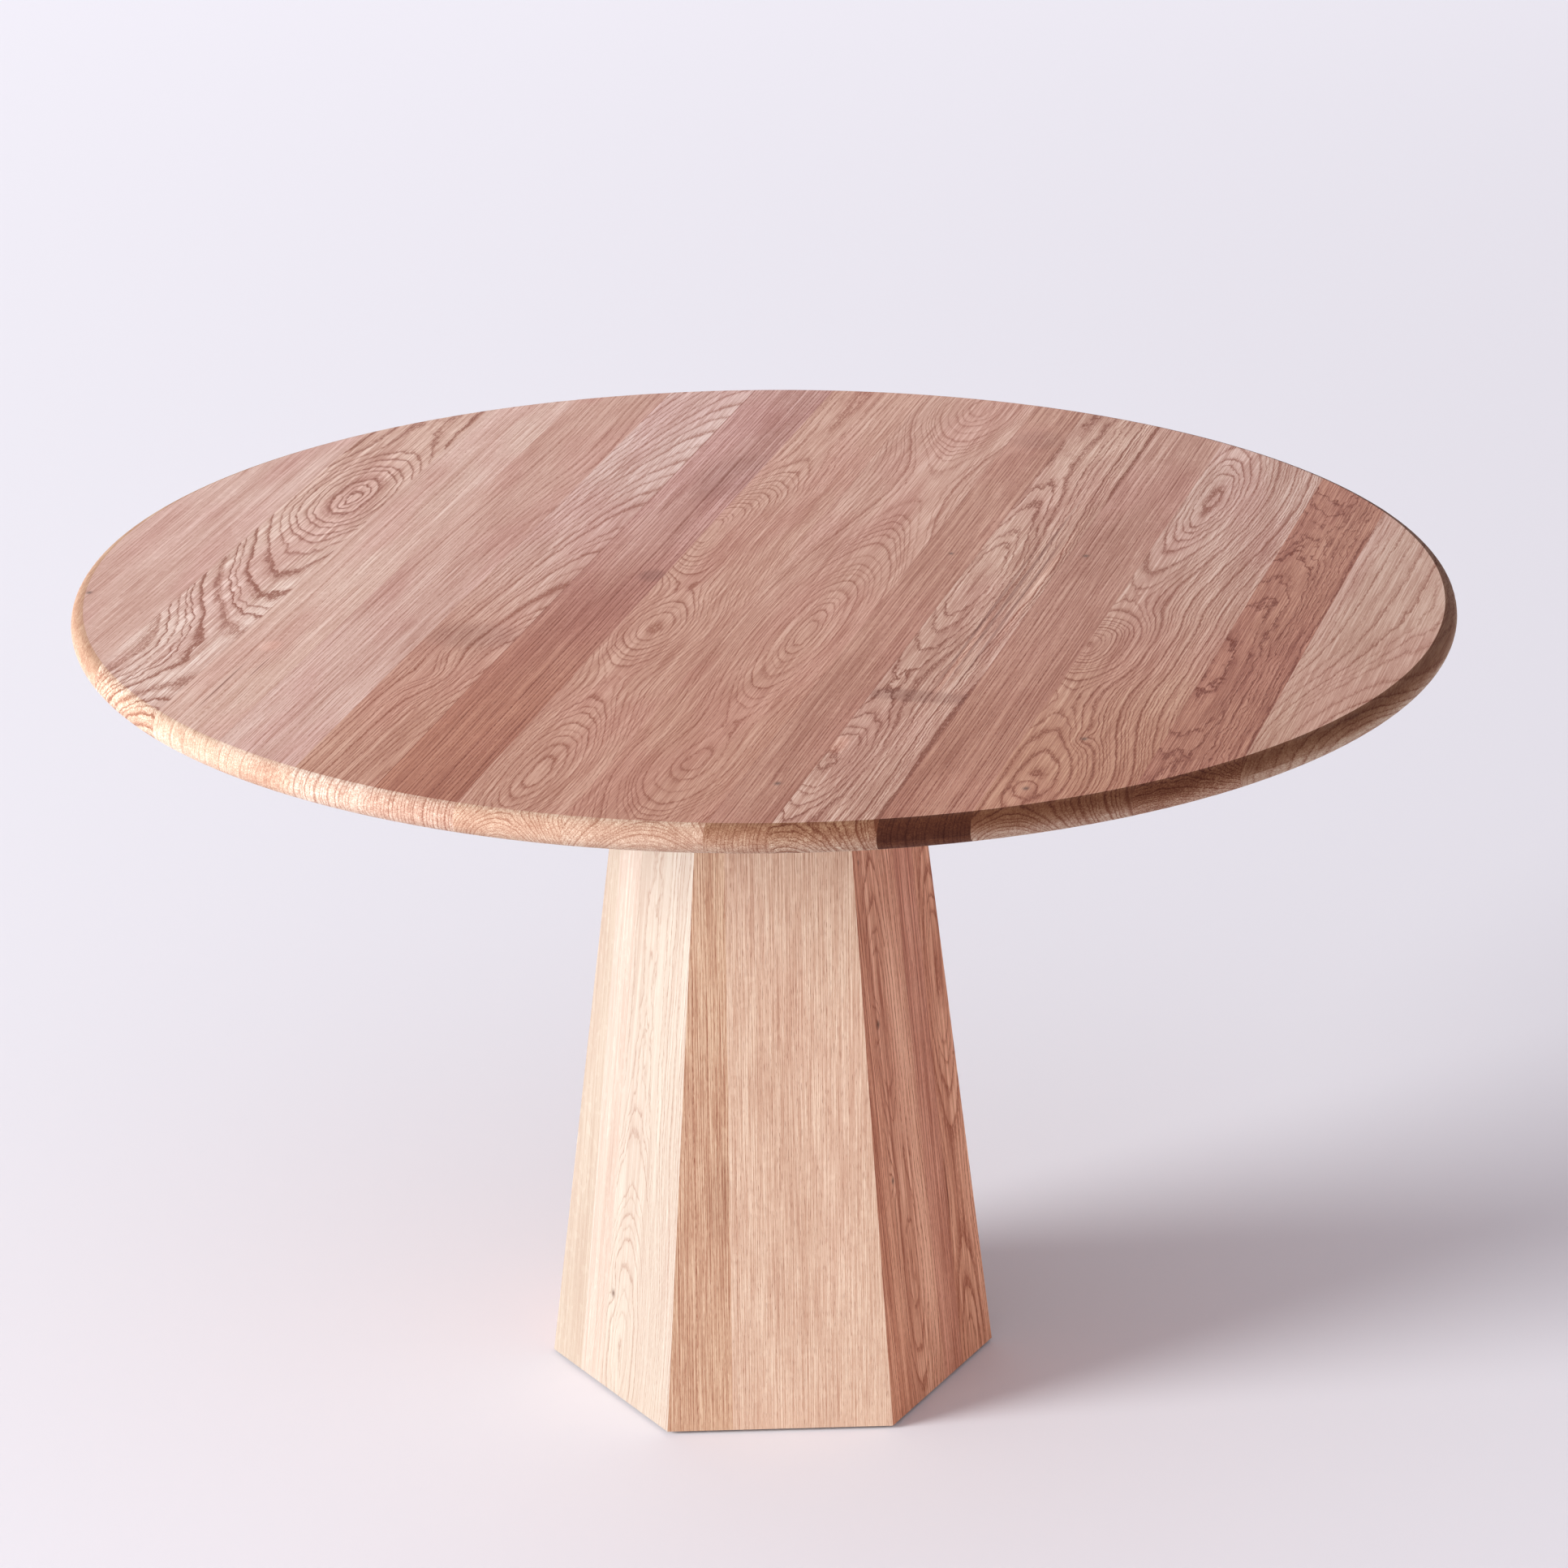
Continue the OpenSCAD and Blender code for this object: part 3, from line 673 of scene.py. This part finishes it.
def mill_steel():
    """Hot-rolled plate: blue-grey scale with lighter and rusty patches."""
    mat, t, bsdf, point = start_material("mill_steel")
    scale = t.noise(point, scale=0.03, detail=5.0, roughness=0.65)
    rust = t.noise(point, scale=0.012, detail=6.0, roughness=0.7)
    colour = t.mix(t.span(scale, 0.35, 0.65), (0.10, 0.11, 0.13), (0.22, 0.22, 0.23))
    colour = t.mix(t.span(rust, 0.58, 0.72, 0.0, 0.6), colour, (0.22, 0.09, 0.04))
    t.plug(bsdf.inputs["Base Color"], colour)
    t.plug(bsdf.inputs["Roughness"], t.span(scale, 0.3, 0.7, 0.38, 0.62))
    bsdf.inputs["Metallic"].default_value = 0.85
    add_relief(t, bsdf, scale, 0.3, 0.0003)
    return mat


def zinc_plate():
    """Bright zinc with a faint blue cast, cloudy and finely scratched."""
    mat, t, bsdf, point = start_material("zinc_plate")
    cloud = t.noise(point, scale=0.12, detail=3.0)
    scratch = t.noise(t.vec("MULTIPLY", point, (3.0, 0.25, 0.6)), detail=2.0)
    colour = t.mix(t.span(cloud, 0.3, 0.7), (0.56, 0.58, 0.62), (0.68, 0.68, 0.66))
    t.plug(bsdf.inputs["Base Color"], colour)
    t.plug(bsdf.inputs["Roughness"], t.span(scratch, 0.3, 0.7, 0.26, 0.44))
    bsdf.inputs["Metallic"].default_value = 1.0
    add_relief(t, bsdf, scratch, 0.15, 0.0001)
    return mat


def dark_nylon():
    """Moulded nylon: near black, with a fine spark-eroded grain and scuffed towards the floor."""
    mat, t, bsdf, point = start_material("dark_nylon")
    grain = t.noise(point, scale=2.2, detail=2.0)
    low = t.span(t.separate(point)[2], 2.5, 0.2)
    scuff = t.math("MULTIPLY", t.span(t.noise(point, scale=0.35, detail=3.0), 0.45, 0.7), low)
    t.plug(bsdf.inputs["Base Color"], t.mix(scuff, (0.022, 0.021, 0.020), (0.085, 0.080, 0.075)))
    t.plug(bsdf.inputs["Roughness"], t.span(grain, 0.3, 0.7, 0.52, 0.68))
    add_relief(t, bsdf, grain, 0.35, 0.0002)
    return mat


# The cleats' oak, with its grain along X. Then what each of the other nodes is made of.
CLEAT_AXES = (Vector((0, 0, 1)), Vector((0, 1, 0)), Vector((-1, 0, 0)))
CLEAT_FIGURE = Figure(41, 30, 40, ring=2.6, contrast=0.4, tint=(1.03, 1.03, 1.03))
CLEAT_BLUSH = 0.3
dress("base_cleats", stave_material("oak_base_cleats", CLEAT_AXES, (0, 0, 0), COLUMN_BASE, CLEAT_BLUSH,
                                    CLEAT_FIGURE))
FINISHES = {
    birch_plywood: ["upper_bulkhead", "middle_frame", "base_board", "corner_splines"],
    black_steel: ["mounting_plate", "left_channel", "right_channel"],
    mill_steel: ["lower_ballast_plate", "upper_ballast_plate"],
    zinc_plate: ["base_screws", "ballast_bolts", "ballast_nuts", "plate_bolts", "column_inserts",
                 "top_screws", "top_washers", "top_inserts", "tee_nuts"]
                + [f"foot_{k}_stud" for k in range(1, 7)],
    dark_nylon: [f"foot_{k}_pad" for k in range(1, 7)],
}
for make, nodes in FINISHES.items():
    mat = make()
    for node in nodes:
        dress(node, mat)
